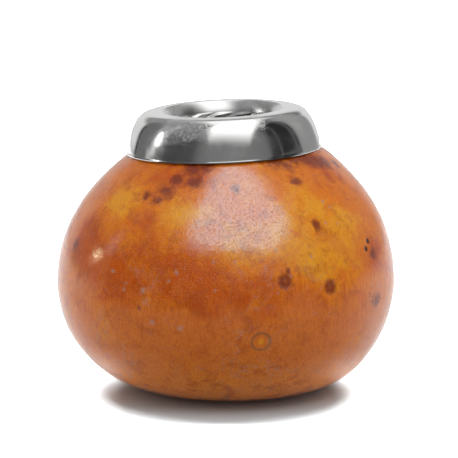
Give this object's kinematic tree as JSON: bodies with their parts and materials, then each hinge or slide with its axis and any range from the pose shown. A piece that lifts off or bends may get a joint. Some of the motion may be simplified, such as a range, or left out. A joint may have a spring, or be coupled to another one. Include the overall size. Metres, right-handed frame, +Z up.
{
  "type": "mate gourd cup",
  "caption": "Round drinking cup made of a dried, lacquered calabash, with a polished metal rim over its mouth and a pleated metal lining inside the neck.",
  "frame": {"origin": "centre of the bounding box in plan, on the surface that the foot rests on", "axes": "+Z up through the mouth, -Y towards the side that the picture shows, +X to that view's right"},
  "size_m": [0.1001, 0.0995, 0.0844],
  "materials": {
    "calabash": "dried calabash, mottled amber and brown, lacquered",
    "rim_metal": "polished metal with fine scratches"
  },
  "bodies": {
    "root": {"gourd_shell": "calabash", "rim_collar": "rim_metal"}
  },
  "joints": []
}
